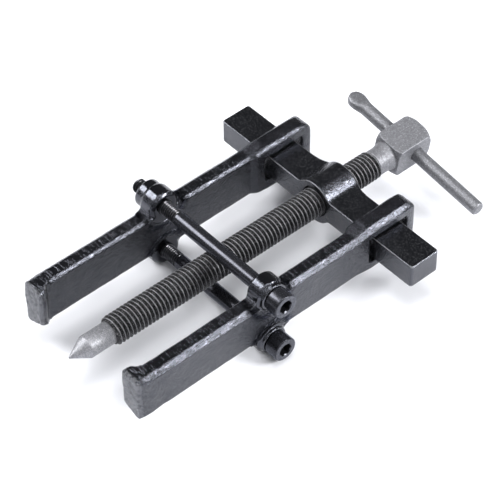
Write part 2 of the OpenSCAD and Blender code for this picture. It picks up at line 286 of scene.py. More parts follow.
def hand_over(name, mesh, body):
    """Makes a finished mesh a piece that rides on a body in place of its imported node."""
    obj = link_object(name, mesh)
    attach(obj, body)
    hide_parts(body)
    print(f"{name}: {sum(len(p.vertices) - 2 for p in mesh.polygons)} triangles")


# %% [markdown]
# ## Shader groups that several finishes share
# Edge wear needs to know where the edges are. The geometry trees store a value called edge on every
# point: how far it stands out from its blurred neighbourhood or, on a thread, how deep it lies. The group
# turns it into a broken-up mask of wear that is also a painted highlight along edges and crests; where the
# value is low, the finishes paint shade into grooves and hollows. The grain group gives the fine relief of
# shot-blasted or phosphated steel.

# %% Shared shader groups
def object_place(tree):
    """The place on the piece, which moves with the piece."""
    return put(tree, "ShaderNodeTexCoord").outputs["Object"]


def stored(tree, name):
    """A value that was stored on the mesh."""
    return put(tree, "ShaderNodeAttribute", attribute_name=name).outputs["Fac"]


def make_wear_and_sheen_group():
    """Mask of the worn metal along edges, which is also a painted highlight, broken up by noise."""
    inputs = [("Start", "NodeSocketFloat", 0.03), ("Full", "NodeSocketFloat", 0.09),
              ("Break-up", "NodeSocketFloat", 0.05), ("Size", "NodeSocketFloat", 1.0)]
    tree, given, result = new_tree("Edge wear", "ShaderNodeTree", inputs, [("Mask", "NodeSocketFloat")])
    scale = calc(tree, "DIVIDE", 1 / MM, given["Size"])
    broken = noise(tree, object_place(tree), scale, 3.0)
    shift = calc(tree, "MULTIPLY", calc(tree, "SUBTRACT", broken, 0.5), given["Break-up"])
    value = calc(tree, "ADD", stored(tree, "edge"), shift)
    tree.links.new(ramp(tree, value, given["Start"], given["Full"]), result["Mask"])
    return tree


def make_grain_group():
    """Relief from two sizes of noise, and a mask of its scattered low spots."""
    inputs = [("Size", "NodeSocketFloat", 0.4), ("Spots", "NodeSocketFloat", 0.68)]
    outputs = [("Height", "NodeSocketFloat"), ("Spot mask", "NodeSocketFloat")]
    tree, given, result = new_tree("Grain", "ShaderNodeTree", inputs, outputs)
    place = object_place(tree)
    scale = calc(tree, "DIVIDE", 1 / MM, given["Size"])
    fine = noise(tree, place, scale, 4.0)
    coarse = noise(tree, place, calc(tree, "MULTIPLY", scale, 0.27), 2.0)
    height = calc(tree, "ADD", calc(tree, "MULTIPLY", fine, 0.6), calc(tree, "MULTIPLY", coarse, 0.4))
    tree.links.new(height, result["Height"])
    spots_full = calc(tree, "ADD", given["Spots"], 0.06)
    tree.links.new(ramp(tree, fine, given["Spots"], spots_full), result["Spot mask"])
    return tree


wear_and_sheen_group = make_wear_and_sheen_group()
grain_group = make_grain_group()


def place_wear_and_sheen(tree, start, full, break_up, size):
    """Puts the group in a material: worn edges that are also a painted highlight. It begins at one edge
    value and is full at another.
    """
    inputs = {"Start": start, "Full": full, "Break-up": break_up, "Size": size}
    return put(tree, "ShaderNodeGroup", inputs, node_tree=wear_and_sheen_group).outputs["Mask"]


def place_grain(tree, size, spots):
    """Puts the grain group in a material, with its size in mm."""
    return put(tree, "ShaderNodeGroup", {"Size": size, "Spots": spots}, node_tree=grain_group).outputs


def new_material(name, colour):
    """A material with its tree and its shader. The colour also shows in the viewport."""
    material = bpy.data.materials.new(name)
    material.use_nodes = True
    material.diffuse_color = (*colour, 1)
    tree = material.node_tree
    shader = tree.nodes["Principled BSDF"]
    shader.inputs["Base Color"].default_value = (*colour, 1)
    return material, tree, shader


def wire(tree, shader, **links):
    """Links values to the shader's inputs, an underscore in a name standing for a space."""
    for name, value in links.items():
        tree.links.new(value, shader.inputs[name.replace("_", " ")])


def blend_values(tree, mask, low, high):
    """A number that goes from low to high with a mask."""
    inputs = {"Value": mask, "To Min": low, "To Max": high}
    return put(tree, "ShaderNodeMapRange", inputs).outputs[0]


def blend_colours(tree, mask, low, high):
    """A colour that goes from low to high with a mask."""
    node = put(tree, "ShaderNodeMix", data_type="RGBA")
    factor, a, b = (next(s for s in node.inputs if s.identifier == i)
                    for i in ("Factor_Float", "A_Color", "B_Color"))
    tree.links.new(mask, factor)
    for socket, value in ((a, low), (b, high)):
        if isinstance(value, bpy.types.NodeSocket):
            tree.links.new(value, socket)
        else:
            socket.default_value = (*value, 1)
    return next(s for s in node.outputs if s.identifier == "Result_Color")


def bumped(tree, height, distance):
    """The normal of a surface with this relief."""
    inputs = {"Height": height, "Strength": 1.0, "Distance": distance}
    return put(tree, "ShaderNodeBump", inputs).outputs[0]


# %% [markdown]
# ## Black paint on the forgings
# The jaws are brushed with a thin gloss black that copies every mark of the forging under it. It isn't a
# plain black: along the edges and on the toes' fronts it is thin, and the steel shines through; along the
# edges this pale steel is also a painted highlight. The relief holds a fine grain, pits in the bevels and
# long cross marks on the jaws' flat faces. Round the ears the paint is a dull crust, and this dark zone is
# also painted shade. Black metal mirrors hardly anything, so the crust and its painted shade are made with
# the Metallic value. The crossbeam gets the same paint with other values, because it is more satin and has
# no cross marks.

# %% Black paint
def make_paint(name, roughness, peel_height, grain_height, mark_height, pit_depth, spots, speckle):
    """Black paint, with its heights in mm. A lower value of spots gives more specks of steel."""
    paint = (0.001, 0.001, 0.0012)
    bare_steel_and_sheen = (0.30, 0.305, 0.32)
    material, tree, shader = new_material(name, paint)
    shader.inputs["IOR"].default_value = 1.8
    shader.inputs["Specular Tint"].default_value = (0.8, 0.83, 0.97, 1)
    place = object_place(tree)
    grain = place_grain(tree, size=0.62, spots=spots)
    flow = put(tree, "ShaderNodeMapping", {"Vector": place, "Scale": (1, 0.7, 1)}).outputs[0]
    peel = put(tree, "ShaderNodeTexNoise", {"Vector": flow, "Scale": 0.6 / MM, "Detail": 3.0,
                                            "Roughness": 0.6, "Distortion": 1.2}).outputs[0]

    # Bare steel shows along edges, in specks and on the toes' fronts; along the edges it is also a painted
    # highlight.
    wear_and_sheen = place_wear_and_sheen(tree, start=0.13, full=0.24, break_up=0.16, size=0.9)
    specks = calc(tree, "MULTIPLY", grain["Spot mask"], speckle)
    rubbed_toe = calc(tree, "MULTIPLY", stored(tree, "toe"), ramp(tree, peel, 0.35, 0.6, 0.02, 0.42))
    specks = calc(tree, "MAXIMUM", specks, rubbed_toe)
    bare_and_sheen_share = calc(tree, "MAXIMUM", calc(tree, "MULTIPLY", wear_and_sheen, 0.4), specks)
    colour = blend_colours(tree, bare_and_sheen_share, paint, bare_steel_and_sheen)

    # The shine changes in patches, and the crust round the ears, which is also painted shade, has hardly
    # any.
    patches = noise(tree, place, 0.16 / MM, 3.0)
    even = ramp(tree, patches, 0.3, 0.7, roughness, roughness + 0.1)
    rough = calc(tree, "ADD", even, calc(tree, "MULTIPLY", bare_and_sheen_share, 0.12))
    crust_and_painted_shade = calc(tree, "MULTIPLY", stored(tree, "scale"), ramp(tree, grain["Height"], 0.5, 0.58, 1.0, 0.2))

    # The relief: pits, mostly in the bevels, the paint's flow and grain, and marks across the flat faces.
    top = stored(tree, "top")
    bevel = stored(tree, "bevel")
    dents = noise(tree, place, 3.2 / MM, 2.0)
    pits = calc(tree, "MULTIPLY", ramp(tree, dents, 0.5, 0.6), calc(tree, "ADD", bevel, 0.25))
    squeeze = put(tree, "ShaderNodeMapping", {"Vector": place, "Scale": (0.08, 1, 0.08)}).outputs[0]
    streaks = ramp(tree, noise(tree, squeeze, 2.3 / MM, 1.0), 0.53, 0.64)
    marks = calc(tree, "MULTIPLY", calc(tree, "MULTIPLY", streaks, top), mark_height)
    grain_share = blend_values(tree, bevel, grain_height, grain_height * 0.4)
    height = calc(tree, "MULTIPLY", grain["Height"], grain_share)
    height = calc(tree, "ADD", calc(tree, "MULTIPLY", peel, peel_height), height)
    height = calc(tree, "SUBTRACT", height, calc(tree, "MULTIPLY", pits, pit_depth))
    height = calc(tree, "MULTIPLY", height, calc(tree, "SUBTRACT", 1.0, calc(tree, "MULTIPLY", top, 0.9)))
    height = calc(tree, "ADD", height, marks)
    height = calc(tree, "MULTIPLY", height, stored(tree, "relief"))
    wire(tree, shader, Base_Color=colour, Roughness=rough, Metallic=crust_and_painted_shade, Normal=bumped(tree, height, MM))
    return material


jaw_paint = make_paint("gloss_black_jaw_paint", roughness=0.05, peel_height=0.28, grain_height=0.36,
                       mark_height=0.045, pit_depth=0.14, spots=0.64, speckle=0.03)
beam_paint = make_paint("satin_black_beam_paint", roughness=0.15, peel_height=0.2, grain_height=0.26,
                        mark_height=0.0, pit_depth=0.03, spots=0.54, speckle=0.07)
print(f"{jaw_paint.name} and {beam_paint.name}: {len(jaw_paint.node_tree.nodes)} nodes each")

# %% [markdown]
# ## Phosphated steel
# The forcing screw and its handle bar are machined and then phosphated, a matt grey coat of fine crystals.
# The crests of the thread are rubbed bright by the boss, and this pale colour is also a painted highlight,
# while its grooves and creases get painted shade, so the colour follows the edge value that is stored on
# the mesh.

# %% Phosphated steel
def make_phosphate(name, plain, roughness, sparkle):
    """Matt grey steel, with painted shade in its grooves and worn edges that are also a painted highlight.
    Sparkle is how much its crystals shine.
    """
    groove = (0.012, 0.012, 0.014)
    rubbed_and_sheen = (0.94, 0.943, 0.96)
    material, tree, shader = new_material(name, plain)
    shader.inputs["Metallic"].default_value = 0.5
    # Painted shade in the grooves and the creases, and pale worn crests and edges that are also a painted
    # highlight.
    hollow_shade = ramp(tree, stored(tree, "edge"), -0.2, 0.1, 1.0, 0.0)
    wear_and_sheen = place_wear_and_sheen(tree, start=0.04, full=0.14, break_up=0.2, size=0.45)
    grain = place_grain(tree, size=0.3, spots=0.58)
    crystals = calc(tree, "MULTIPLY", grain["Spot mask"], sparkle)
    shine = calc(tree, "MAXIMUM", calc(tree, "MULTIPLY", wear_and_sheen, 0.58), crystals)
    shade = calc(tree, "MULTIPLY", grain["Height"], 1.2)
    colour = blend_colours(tree, shade, groove, plain)
    colour = blend_colours(tree, hollow_shade, colour, groove)
    colour = blend_colours(tree, shine, colour, rubbed_and_sheen)
    rough = blend_values(tree, shine, roughness, roughness - 0.14)
    bump = bumped(tree, grain["Height"], 0.14 * MM)
    wire(tree, shader, Base_Color=colour, Roughness=rough, Normal=bump)
    return material


screw_steel = make_phosphate("phosphated_screw_steel", (0.4, 0.405, 0.44), roughness=0.48, sparkle=0.28)
bar_steel = make_phosphate("phosphated_bar_steel", (0.33, 0.335, 0.363), roughness=0.4, sparkle=0.25)
print(f"{screw_steel.name} and {bar_steel.name}: {len(screw_steel.node_tree.nodes)} nodes each")

# %% [markdown]
# ## Black oxide
# The cap screws are bought parts with an oiled black oxide finish: dark, smooth and satin, greyer where the
# tool and the thread have rubbed, which is also a painted highlight on edges and crests, and nearly black
# with painted shade in the thread's grooves and on the sockets' floors.

# %% Black oxide
def make_oxide(name):
    """Satin black steel, with painted shade in its grooves and greyer edges that are also a painted
    highlight.
    """
    oxide = (0.045, 0.046, 0.054)
    rubbed_and_sheen = (0.22, 0.222, 0.238)
    groove = (0.006, 0.006, 0.007)
    material, tree, shader = new_material(name, oxide)
    shader.inputs["Metallic"].default_value = 0.7
    shader.inputs["Specular Tint"].default_value = (0.86, 0.89, 1, 1)
    # Painted shade in the thread's grooves and on the socket's floor, and grey worn edges and crests that
    # are also a painted highlight.
    hollow_shade = ramp(tree, stored(tree, "edge"), -0.12, 0.04, 1.0, 0.0)
    wear_and_sheen = place_wear_and_sheen(tree, start=0.02, full=0.08, break_up=0.06, size=0.5)
    grain = place_grain(tree, size=0.5, spots=0.64)
    shine = calc(tree, "MAXIMUM", wear_and_sheen, calc(tree, "MULTIPLY", grain["Spot mask"], 0.12))
    colour = blend_colours(tree, hollow_shade, oxide, groove)
    colour = blend_colours(tree, shine, colour, rubbed_and_sheen)
    rough = ramp(tree, grain["Height"], 0.35, 0.65, 0.17, 0.3)
    rough = calc(tree, "MAXIMUM", rough, calc(tree, "MULTIPLY", hollow_shade, 0.7))
    bump = bumped(tree, grain["Height"], 0.015 * MM)
    wire(tree, shader, Base_Color=colour, Roughness=rough, Normal=bump)
    return material


oxide_steel = make_oxide("black_oxide_steel")
print(f"{oxide_steel.name}: {len(oxide_steel.node_tree.nodes)} nodes")

# %% [markdown]
# ## Forged skin
# A hammer-forged jaw has no truly flat face: it is lumpy at the scale of a fingertip, most of all at the
# toe, and its upper and lower faces carry the cross marks of the trimming tool. Round the ears and the boss
# it is calmer, with crumbs in a ring at the ears' roots, and the frame's rear corners are rounded. A
# Geometry Nodes tree pushes an even net of small squares in and out by noise. It also stores six values
# for the paint: edge, top, bevel, relief, scale and toe. Scale marks the crust round the ears, which the
# paint also uses for painted shade there.

# %% Geometry tree for the forged skin
crumb_height = 0.4 * MM


def store(tree, geometry, label, value):
    """Stores a value on every point, under a name that a material can read."""
    inputs = {"Geometry": geometry, "Name": label, "Value": value}
    return put(tree, "GeometryNodeStoreNamedAttribute", inputs, data_type="FLOAT", domain="POINT").outputs[0]


def end_tree(tree, geometry, given, result):
    """Makes instances real and puts the material on, as the end of a tree."""
    real = put(tree, "GeometryNodeRealizeInstances", {"Geometry": geometry}).outputs[0]
    dressed = put(tree, "GeometryNodeSetMaterial", {"Geometry": real, "Material": given["Material"]})
    tree.links.new(dressed.outputs[0], result["Geometry"])


def make_forged_tree():
    inputs = [("Geometry", "NodeSocketGeometry", None), ("Lump height", "NodeSocketFloat", 0.1 * MM),
              ("Lump size", "NodeSocketFloat", 8 * MM), ("Mark height", "NodeSocketFloat", 0.03 * MM),
              ("Mark pitch", "NodeSocketFloat", 0.95 * MM), ("Seed", "NodeSocketFloat", 0.0),
              ("Fade from", "NodeSocketFloat", 12 * MM), ("Fade to", "NodeSocketFloat", 26 * MM),
              ("Edge gain", "NodeSocketFloat", 1.0), ("Round from", "NodeSocketFloat", 1.0),
              ("Calm centre", "NodeSocketVector", None), ("Calm mask", "NodeSocketVector", None),
              ("Calm from", "NodeSocketFloat", 0.0), ("Calm to", "NodeSocketFloat", 0.1 * MM),
              ("Crumb height", "NodeSocketFloat", 0.0), ("Front", "NodeSocketFloat", -1.0),
              ("Material", "NodeSocketMaterial", None)]
    outputs = [("Geometry", "NodeSocketGeometry")]
    tree, given, result = new_tree("Forged skin", "GeometryNodeTree", inputs, outputs)
    place = put(tree, "GeometryNodeInputPosition").outputs[0]
    normal = put(tree, "GeometryNodeInputNormal").outputs[0]
    parts = put(tree, "ShaderNodeSeparateXYZ", {"Vector": place}).outputs
    along = parts["Y"]
    from_front = calc(tree, "SUBTRACT", along, given["Front"])

    def vector_calc(operation, inputs, output="Vector"):
        return put(tree, "ShaderNodeVectorMath", inputs, operation=operation).outputs[output]

    def seeded_noise(scale):
        inputs = {"Vector": place, "W": given["Seed"], "Scale": scale, "Detail": 2.0}
        return put(tree, "ShaderNodeTexNoise", inputs, noise_dimensions="4D").outputs[0]

    def blur(vector, rounds, weight=1.0):
        inputs = {"Iterations": rounds, "Weight": weight}
        node = put(tree, "GeometryNodeBlurAttribute", inputs, data_type="FLOAT_VECTOR")
        tree.links.new(vector, next(s for s in node.inputs if s.type == "VECTOR" and s.enabled))
        return next(s for s in node.outputs if s.type == "VECTOR" and s.enabled)

    # The frame's rear corners are rounded by a blur that begins at a place along Y.
    at_rear = ramp(tree, along, given["Round from"], calc(tree, "ADD", given["Round from"], 1.5 * MM))
    rounding = {"Geometry": given["Geometry"], "Position": blur(place, 16, at_rear)}
    rounded = put(tree, "GeometryNodeSetPosition", rounding).outputs[0]

    # Distance from the calm zone's axis, the same above and below the tool's middle.
    height_off = calc(tree, "ABSOLUTE", calc(tree, "SUBTRACT", parts["Z"], axis_z))
    folded = put(tree, "ShaderNodeCombineXYZ", {"X": parts["X"], "Y": along, "Z": height_off}).outputs[0]
    off = vector_calc("SUBTRACT", {0: folded, 1: given["Calm centre"]})
    off = vector_calc("MULTIPLY", {0: off, 1: given["Calm mask"]})
    radius = vector_calc("LENGTH", {0: off}, "Value")

    # Outside the calm zone, the ring of crumbs at its rim, and the crust that reaches further out, which the
    # paint also uses for painted shade.
    calm_from, calm_to = given["Calm from"], given["Calm to"]
    outside = ramp(tree, radius, calm_from, calm_to, 0.15, 1.0)
    ring_full = calc(tree, "ADD", calm_from, 0.6 * MM)
    ring_end = calc(tree, "ADD", calm_to, 1.5 * MM)
    ring = calc(tree, "MULTIPLY", ramp(tree, radius, calm_from, ring_full),
                ramp(tree, radius, calm_to, ring_end, 1.0, 0.0))
    crust_and_shade_end = calc(tree, "ADD", calm_to, 4.5 * MM)
    scale = calc(tree, "MULTIPLY", ramp(tree, radius, calm_from, calm_to),
                 ramp(tree, radius, calm_to, crust_and_shade_end, 1.0, 0.0))
    scale = calc(tree, "MULTIPLY", scale, calc(tree, "DIVIDE", given["Crumb height"], crumb_height))

    # Faces that look up or down, and the bevels beside them.
    upright = calc(tree, "ABSOLUTE", put(tree, "ShaderNodeSeparateXYZ", {"Vector": normal}).outputs["Z"])
    flat = ramp(tree, upright, 0.88, 0.99)
    bevel = calc(tree, "MULTIPLY", ramp(tree, upright, 0.25, 0.5), ramp(tree, upright, 0.88, 0.96, 1.0, 0.0))

    # Lumps, higher towards the toe and lower on flat faces and in the calm zone, and then the crumbs.
    lump_scale = calc(tree, "DIVIDE", 1.0, given["Lump size"])
    lumps = seeded_noise(lump_scale)
    small = seeded_noise(calc(tree, "MULTIPLY", lump_scale, 5.0))
    swell = calc(tree, "ADD", calc(tree, "SUBTRACT", lumps, 0.5),
                 calc(tree, "MULTIPLY", calc(tree, "SUBTRACT", small, 0.5), 0.25))
    swell = calc(tree, "MULTIPLY", swell, given["Lump height"])
    swell = calc(tree, "MULTIPLY", swell, ramp(tree, from_front, 0.0, 16 * MM, 4.0, 1.0))
    swell = calc(tree, "MULTIPLY", swell, outside)
    swell = calc(tree, "MULTIPLY", swell, calc(tree, "SUBTRACT", 1.0, calc(tree, "MULTIPLY", flat, 0.5)))
    crumbs = calc(tree, "MULTIPLY", calc(tree, "SUBTRACT", noise(tree, place, 0.9 / MM, 2.0), 0.5),
                  calc(tree, "MULTIPLY", ring, given["Crumb height"]))
    swell = calc(tree, "ADD", swell, crumbs)

    # Marks across the flat faces, fainter towards the rear.
    top = calc(tree, "MULTIPLY", flat, ramp(tree, along, given["Fade from"], given["Fade to"], 1.0, 0.55))
    wobble = calc(tree, "MULTIPLY", small, 1.6)
    turns = calc(tree, "ADD", calc(tree, "DIVIDE", along, given["Mark pitch"]), wobble)
    wave = calc(tree, "SINE", calc(tree, "MULTIPLY", turns, 2 * math.pi))
    strength = ramp(tree, lumps, 0.35, 0.65, 0.5, 1.0)
    marks = calc(tree, "MULTIPLY", calc(tree, "MULTIPLY", wave, strength),
                 calc(tree, "MULTIPLY", top, given["Mark height"]))
    push = vector_calc("SCALE", {0: normal, "Scale": calc(tree, "ADD", swell, marks)})

    # How far a point stands out, in mm, then the paint's share of relief and the front of the toe.
    away = vector_calc("SUBTRACT", {0: place, 1: blur(place, 9)})
    stands_out = vector_calc("DOT_PRODUCT", {0: away, 1: normal}, "Value")
    edge = calc(tree, "MULTIPLY", calc(tree, "DIVIDE", stands_out, MM), given["Edge gain"])
    crumb_relief = calc(tree, "MULTIPLY", ring, calc(tree, "DIVIDE", given["Crumb height"], 0.16 * MM))
    relief = calc(tree, "ADD", outside, crumb_relief)
    relief = calc(tree, "MULTIPLY", relief, ramp(tree, from_front, 0.0, 5 * MM, 2.2, 1.0))
    toe = ramp(tree, from_front, 0.6 * MM, 1.8 * MM, 1.0, 0.0)

    marked = rounded
    for label, value in (("edge", edge), ("top", top), ("bevel", bevel), ("relief", relief),
                         ("scale", scale), ("toe", toe)):
        marked = store(tree, marked, label, value)
    moved = put(tree, "GeometryNodeSetPosition", {"Geometry": marked, "Offset": push}).outputs[0]
    end_tree(tree, moved, given, result)
    return tree


forged_tree = make_forged_tree()
print(f"{forged_tree.name}: {len(forged_tree.nodes)} nodes")

# %% [markdown]
# ## The two jaws and the crossbeam
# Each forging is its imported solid, given the even net and then the forged skin. The jaws are pushed about
# more than the crossbeam, which was drawn to size before the boss was forged on it. A calm zone lies round
# an axis, and the mask leaves out the direction of that axis: X for the cap screws through the ears, and Y
# for the forcing screw through the boss.

# %% Jaws and crossbeam
forged_net = 0.34 * MM
frame_corner_length = 7 * MM
clamp_lo, clamp_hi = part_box("upper_clamp_screw")
jaw_lo, jaw_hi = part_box("right_jaw")
ear_centre = (0, (clamp_lo.y + clamp_hi.y) / 2, (clamp_lo.z + clamp_hi.z) / 2 - axis_z)
jaw_skin = {"Lump height": 0.4 * MM, "Mark height": 0.018 * MM, "Round from": jaw_hi.y - frame_corner_length,
            "Calm centre": ear_centre, "Calm mask": (0, 1, 1), "Calm from": 6.8 * MM, "Calm to": 9 * MM,
            "Crumb height": crumb_height, "Front": jaw_lo.y, "Material": jaw_paint}
beam_skin = {"Lump height": 0.12 * MM, "Mark height": 0.0, "Edge gain": 1.1, "Calm mask": (1, 0, 1),
             "Calm from": 5 * MM, "Calm to": 9 * MM, "Material": beam_paint}


def forged_piece(name, node, seed, skin):
    net = even_skin(solid_copy(node), forged_net, 5)
    hand_over(name, run_nodes(name, forged_tree, {**skin, "Seed": seed}, net), node)


forged_piece("right_jaw_forging", "right_jaw", 1.0, jaw_skin)
forged_piece("left_jaw_forging", "left_jaw", 2.0, jaw_skin)
forged_piece("crossbeam_forging", "yoke", 3.0, beam_skin)

# %% [markdown]
# ## Threads
# A thread is a ridge that climbs round a bar. Instead of winding a profile round a helix, the tree bends
# a flat grid: each row is one step of the helix, and its radius follows the thread's profile. The last
# edge of one turn meets the first edge of the next, so a merge closes the seam. At both ends the radius
# is held under a 45 degree chamfer. The edge value falls with the depth, by a gain that each screw sets,
# and the finishes turn it into painted shade in the grooves and a painted highlight on the crests; the
# forcing screw's grooves get the darker painted shade.

# %% Geometry tree for a thread
crest_share, root_share = 0.05, 0.875


def make_thread_tree():
    inputs = [("Start", "NodeSocketVector", None), ("Length", "NodeSocketFloat", 0.1),
              ("Radius", "NodeSocketFloat", 5.95 * MM), ("Pitch", "NodeSocketFloat", 1.75 * MM),
              ("Depth", "NodeSocketFloat", 1.07 * MM), ("Along X", "NodeSocketBool", False),
              ("Samples", "NodeSocketInt", 12), ("Segments", "NodeSocketInt", 48),
              ("Edge gain", "NodeSocketFloat", 1.0), ("Material", "NodeSocketMaterial", None)]
    outputs = [("Geometry", "NodeSocketGeometry")]
    tree, given, result = new_tree("Helical thread", "GeometryNodeTree", inputs, outputs)
    turns = calc(tree, "ADD", calc(tree, "DIVIDE", given["Length"], given["Pitch"]), 1.0)
    steps = calc(tree, "CEIL", calc(tree, "MULTIPLY", turns, given["Samples"]))
    rows = calc(tree, "ADD", steps, 3.0)
    columns = calc(tree, "ADD", given["Segments"], 1.0)
    grid = put(tree, "GeometryNodeMeshGrid", {"Vertices X": rows, "Vertices Y": columns}).outputs["Mesh"]
    index = put(tree, "GeometryNodeInputIndex").outputs[0]
    row = calc(tree, "FLOOR", calc(tree, "DIVIDE", calc(tree, "ADD", index, 0.5), columns))
    column = calc(tree, "SUBTRACT", index, calc(tree, "MULTIPLY", row, columns))
    share = calc(tree, "DIVIDE", column, given["Segments"])
    step = calc(tree, "MINIMUM", calc(tree, "MAXIMUM", calc(tree, "SUBTRACT", row, 1.0), 0.0), steps)
    turn = calc(tree, "DIVIDE", step, given["Samples"])
    climb = calc(tree, "SUBTRACT", calc(tree, "ADD", turn, share), 1.0)
    climb = calc(tree, "MULTIPLY", climb, given["Pitch"])
    place = calc(tree, "MINIMUM", calc(tree, "MAXIMUM", climb, 0.0), given["Length"])

    # The profile: 0 at the middle of a crest and 1 at the middle of a groove, then flattened at both.
    wave = calc(tree, "SUBTRACT", calc(tree, "MULTIPLY", calc(tree, "FRACT", turn), 2.0), 1.0)
    wave = calc(tree, "ABSOLUTE", wave)
    inputs = {"Value": wave, "From Min": crest_share, "From Max": root_share}
    groove = put(tree, "ShaderNodeMapRange", inputs).outputs[0]
    root = calc(tree, "SUBTRACT", given["Radius"], given["Depth"])
    radius = calc(tree, "SUBTRACT", given["Radius"], calc(tree, "MULTIPLY", groove, given["Depth"]))
    front = calc(tree, "ADD", root, place)
    rear = calc(tree, "ADD", root, calc(tree, "SUBTRACT", given["Length"], place))
    radius = calc(tree, "MINIMUM", radius, calc(tree, "MINIMUM", front, rear))

    # The first and the last row are pulled to the axis, which closes the ends.
    inner = calc(tree, "MULTIPLY", calc(tree, "GREATER_THAN", row, 0.5),
                 calc(tree, "LESS_THAN", row, calc(tree, "SUBTRACT", rows, 1.5)))
    radius = calc(tree, "MULTIPLY", radius, inner)
    angle = calc(tree, "MULTIPLY", share, 2 * math.pi)
    side = calc(tree, "MULTIPLY", radius, calc(tree, "SINE", angle))
    rise = calc(tree, "MULTIPLY", radius, calc(tree, "COSINE", angle))
    along_y = put(tree, "ShaderNodeCombineXYZ", {"X": side, "Y": place, "Z": rise}).outputs[0]
    along_x = put(tree, "ShaderNodeCombineXYZ", {"X": place, "Y": rise, "Z": side}).outputs[0]
    either = put(tree, "GeometryNodeSwitch", {"Switch": given["Along X"], "False": along_y, "True": along_x},
                 input_type="VECTOR").outputs[0]
    spot = put(tree, "ShaderNodeVectorMath", {0: either, 1: given["Start"]}, operation="ADD").outputs[0]
    bent = put(tree, "GeometryNodeSetPosition", {"Geometry": grid, "Position": spot}).outputs[0]
    below = calc(tree, "DIVIDE", calc(tree, "MULTIPLY", groove, given["Depth"]), MM)
    stands_out = calc(tree, "SUBTRACT", 0.1, calc(tree, "MULTIPLY", below, given["Edge gain"]))
    marked = store(tree, bent, "edge", stands_out)
    merging = {"Geometry": marked, "Distance": 0.004 * MM}
    closed = put(tree, "GeometryNodeMergeByDistance", merging).outputs[0]
    smooth = put(tree, "GeometryNodeSetShadeSmooth", {"Geometry": closed}).outputs[0]
    end_tree(tree, smooth, given, result)
    return tree


def outward(mesh):
    """Turns a closed mesh's faces outwards."""
    bm = bmesh.new()
    bm.from_mesh(mesh)
    bmesh.ops.dissolve_degenerate(bm, dist=0.001 * MM, edges=bm.edges)
    bmesh.ops.recalc_face_normals(bm, faces=bm.faces)
    open_edges = sum(1 for e in bm.edges if len(e.link_faces) != 2)
    print(f"{mesh.name}: {open_edges} open edges")
    bm.to_mesh(mesh)
    bm.free()
    return mesh


thread_tree = make_thread_tree()

# %% [markdown]
# ## The forcing screw
# In front of the thread a 60 degree point and a plain pilot are turned, and behind it come a neck and the
# square head. The point and pilot are swept profiles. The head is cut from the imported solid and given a
# fine net, squared up with the axes while this is done so that its flats stay flat.

# %% Forcing screw
along_y = (Vector((0, 1, 0)), Vector((0, 0, 1)))
screw_pitch = 1.75 * MM
screw_radius = 5.95 * MM
thread_depth_share = 0.6134
screw_depth = screw_pitch * thread_depth_share
pilot_radius = 4.5 * MM
pilot_length = 10.8 * MM
thread_length = 131.3 * MM
point_length = pilot_radius / math.tan(math.radians(30))
pilot_start = screw_lo.y + point_length
thread_start = pilot_start + pilot_length
thread_end = thread_start + thread_length
neck_radius = 5.4 * MM
tip_radius = 0.35 * MM
pilot_overlap = 0.6 * MM
pilot_edge_value = 0.05
fine_net = 0.2 * MM
bar_turn = math.radians(8.5)
screw_axis = Vector((0, 0, axis_z))
unturn_head = (Matrix.Translation(screw_axis) @ Matrix.Rotation(-bar_turn, 4, "Y")
               @ Matrix.Translation(-screw_axis))


def screw_front():
    """Point and pilot, with the point's tip slightly blunt and the pilot running into the thread."""
    pilot_end = thread_start - screw_lo.y + pilot_overlap
    profile = soften([(0, 0), (tip_radius * 0.4, tip_radius), (point_length, pilot_radius),
                      (pilot_end, pilot_radius)], 0.35 * MM)
    profile.append(Vector((profile[-1].x, 0)))
    mesh = turned_mesh("screw_front", profile, along_y, 72)
    set_edge(mesh, np.full(len(mesh.vertices), pilot_edge_value))
    mesh.transform(Matrix.Translation(Vector((0, screw_lo.y, axis_z))))
    return mesh


def screw_thread():
    root = screw_radius - screw_depth
    values = {"Start": (0, thread_start, axis_z), "Length": thread_end - thread_start + neck_radius - root,
              "Radius": screw_radius, "Pitch": screw_pitch, "Depth": screw_depth, "Along X": False,
              "Samples": 16, "Segments": 40, "Edge gain": 1.8, "Material": screw_steel}
    return outward(run_nodes("screw_thread", thread_tree, values))


def screw_rear():
    """Neck and square head."""
    mesh = solid_copy("forcing_screw", thread_end)
    mesh.transform(unturn_head)
    values = {"Lump height": 0.05 * MM, "Mark height": 0.0, "Seed": 4.0, "Edge gain": 0.4,
              "Material": screw_steel}
    mesh = run_nodes("screw_rear", forged_tree, values, even_skin(mesh, fine_net, 2))
    mesh.transform(unturn_head.inverted())
    return mesh


screw_mesh = join_meshes("forcing_screw_steel", [screw_front(), screw_thread(), screw_rear()], screw_steel)
hand_over("forcing_screw_steel", screw_mesh, "forcing_screw")

# %% [markdown]
# ## The handle bar
# A plain round bar, hammered flat at one end so that it can't fall out. It is lofted along X through
# sections that go from a flat, full rectangle at the spade to a circle at the neck. A section's fullness is
# the power of its curve: 2 gives a circle, and more goes towards a rectangle. Then it gets the fine net and
# the skin, and is turned about the screw.

# %% Handle bar
bar_lo, bar_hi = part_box("handle_bar")
bar_left, bar_right = -31.65 * MM, 41.65 * MM
bar_radius = 2.9 * MM
bar_chamfer = 0.7 * MM
spade_half_width, spade_half_thickness = 3.8 * MM, 2 * MM
spade_length = 8.5 * MM
neck_start, neck_end = 4.2 * MM, spade_length + 1.2 * MM
spade_fullness, fullness_drop = 3.2, 1.2
spade_tip_thickness = 0.72


def eased(share):
    share = min(max(share, 0), 1)
    return share * share * (3 - 2 * share)


